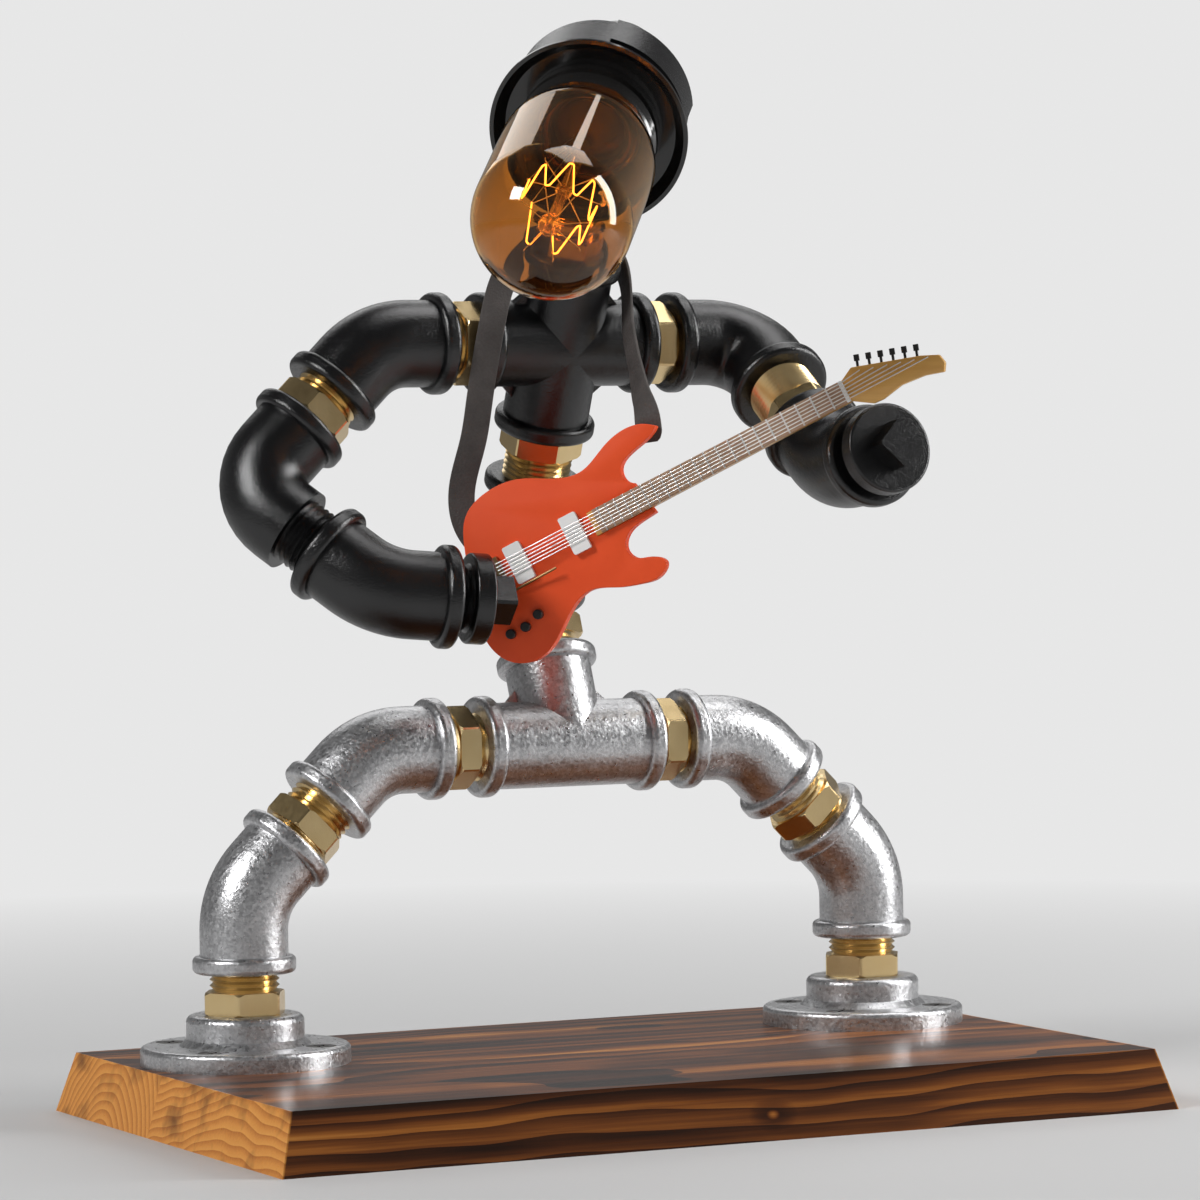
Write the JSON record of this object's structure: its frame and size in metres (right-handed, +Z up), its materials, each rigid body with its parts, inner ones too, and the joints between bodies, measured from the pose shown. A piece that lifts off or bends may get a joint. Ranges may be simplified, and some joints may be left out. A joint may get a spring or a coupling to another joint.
{
  "type": "table lamp",
  "caption": "Table lamp of threaded pipe fittings posed on a torched wood base, its hooded head holding an amber tubular bulb, with a miniature guitar on a strap.",
  "frame": {"origin": "centre of the wooden base's underside, on the table it stands on", "axes": "+X along the base to the right as seen from the front, +Y to the rear, +Z up"},
  "size_m": [0.29, 0.2389, 0.325],
  "materials": {
    "wood_rear": "torched pine under gloss lacquer",
    "wood_front": "torched pine under gloss lacquer",
    "galvanised": "galvanised rough casting",
    "black_iron": "black rough casting, satin",
    "brass": "turned brass",
    "steel_dark": "dark countersunk screws",
    "rubber": "black grommet",
    "lead": "black flexible lead",
    "black_gloss": "glossy black moulding",
    "insert": "pale insulating insert",
    "plated": "plated thread shell",
    "amber_glass": "amber glass",
    "clear_glass": "glass stem with wire supports",
    "filament": "glowing filament",
    "guitar_red": "bright red paint",
    "maple": "varnished maple",
    "rosewood": "dark fingerboard with pale frets",
    "steel": "bright wire",
    "white_plastic": "white covers",
    "bronze": "bronze plate",
    "black_plastic": "black knobs",
    "leather": "dark flat strap"
  },
  "bodies": {
    "frame": {"base_rear_plank": "wood_rear", "base_front_plank": "wood_front", "floor_flange_left": "galvanised", "floor_flange_right": "galvanised", "flange_screws": "steel_dark", "cord_grommet": "rubber", "leg_tee": "galvanised", "spine_elbow": "black_iron", "body_cross": "black_iron", "lower_spine_nipple": "brass", "upper_spine_nipple": "brass", "side_nipple_left": "brass", "side_nipple_right": "brass", "neck_nipple_lower": "brass", "guitar_body": "guitar_red", "guitar_neck": "maple", "guitar_fretboard": "rosewood", "guitar_strings": "steel", "guitar_pickups": "white_plastic", "guitar_bridge": "bronze", "guitar_knobs": "black_plastic", "guitar_tuners": "black_plastic", "strap_buttons": "steel_dark", "strap": "leather", "lead_base": "lead", "ankle_nipple_left": "brass", "knee_nipple_left": "brass", "hip_nipple_left": "brass", "lower_leg_elbow_left": "galvanised", "upper_leg_elbow_left": "galvanised", "ankle_nipple_right": "brass", "knee_nipple_right": "brass", "hip_nipple_right": "brass", "lower_leg_elbow_right": "galvanised", "upper_leg_elbow_right": "galvanised"},
    "left_upper": {"side_elbow_left": "black_iron", "limb_nipple_left": "brass"},
    "left_end": {"street_elbow": "black_iron", "end_elbow_left": "black_iron", "plug_left": "black_iron"},
    "right_upper": {"side_elbow_right": "black_iron", "limb_nipple_right": "brass"},
    "right_end": {"end_elbow_right": "black_iron", "plug_right": "black_iron"},
    "neck": {"neck_elbow_lower": "black_iron", "neck_nipple_middle": "brass", "lead_neck": "lead"},
    "head": {"neck_elbow_upper": "black_iron", "hood": "black_iron", "shade_ring": "black_gloss", "holder_skirt": "black_gloss", "holder_insert": "insert", "holder_contact": "plated", "holder_shell": "plated", "lead_head": "lead"},
    "bulb_slider": {"bulb_contact": "plated"},
    "bulb": {"bulb_glass": "amber_glass", "bulb_cap": "plated", "bulb_stem": "clear_glass", "bulb_filament": "filament"}
  },
  "joints": [
    {"name": "left_side_swivel", "type": "hinge", "parent": "frame", "child": "left_upper", "pos_m": [-0.0385, 0.03023, 0.23244], "axis": [1, 0, 0], "range_deg": [-35, 0]},
    {"name": "left_limb_swivel", "type": "hinge", "parent": "left_upper", "child": "left_end", "pos_m": [-0.08433, 0.03023, 0.20911], "axis": [-0.7071, 0, -0.7071], "range_deg": [0, 40]},
    {"name": "right_side_swivel", "type": "hinge", "parent": "frame", "child": "right_upper", "pos_m": [0.0365, 0.03023, 0.23244], "axis": [1, 0, 0], "range_deg": [0, 30]},
    {"name": "right_limb_swivel", "type": "hinge", "parent": "right_upper", "child": "right_end", "pos_m": [0.065, -0.01105, 0.20512], "axis": [0, -0.8339, -0.5519], "range_deg": [-40, 0]},
    {"name": "neck_swivel", "type": "hinge", "parent": "frame", "child": "neck", "pos_m": [0, 0.01315, 0.27267], "axis": [0, -0.3907, 0.9205], "range_deg": [-30, 30]},
    {"name": "head_swivel", "type": "hinge", "parent": "neck", "child": "head", "pos_m": [-0.0074, -0.02213, 0.30511], "axis": [-0.2476, -0.886, 0.3921], "range_deg": [-25, 25]},
    {"name": "bulb_travel", "type": "slide", "parent": "head", "child": "bulb_slider", "axis": [-0.5383, -0.7207, -0.4368], "range_m": [0, 0.01815]},
    {"name": "bulb_turn", "type": "hinge", "parent": "bulb_slider", "child": "bulb", "pos_m": [-0.04339, -0.08278, 0.28925], "axis": [-0.5383, -0.7207, -0.4368], "range_deg": [0, 1800]}
  ],
  "couplings": [
    {"joint": "bulb_travel", "follows": "bulb_turn", "m_per_rad": 0.00057773}
  ]
}
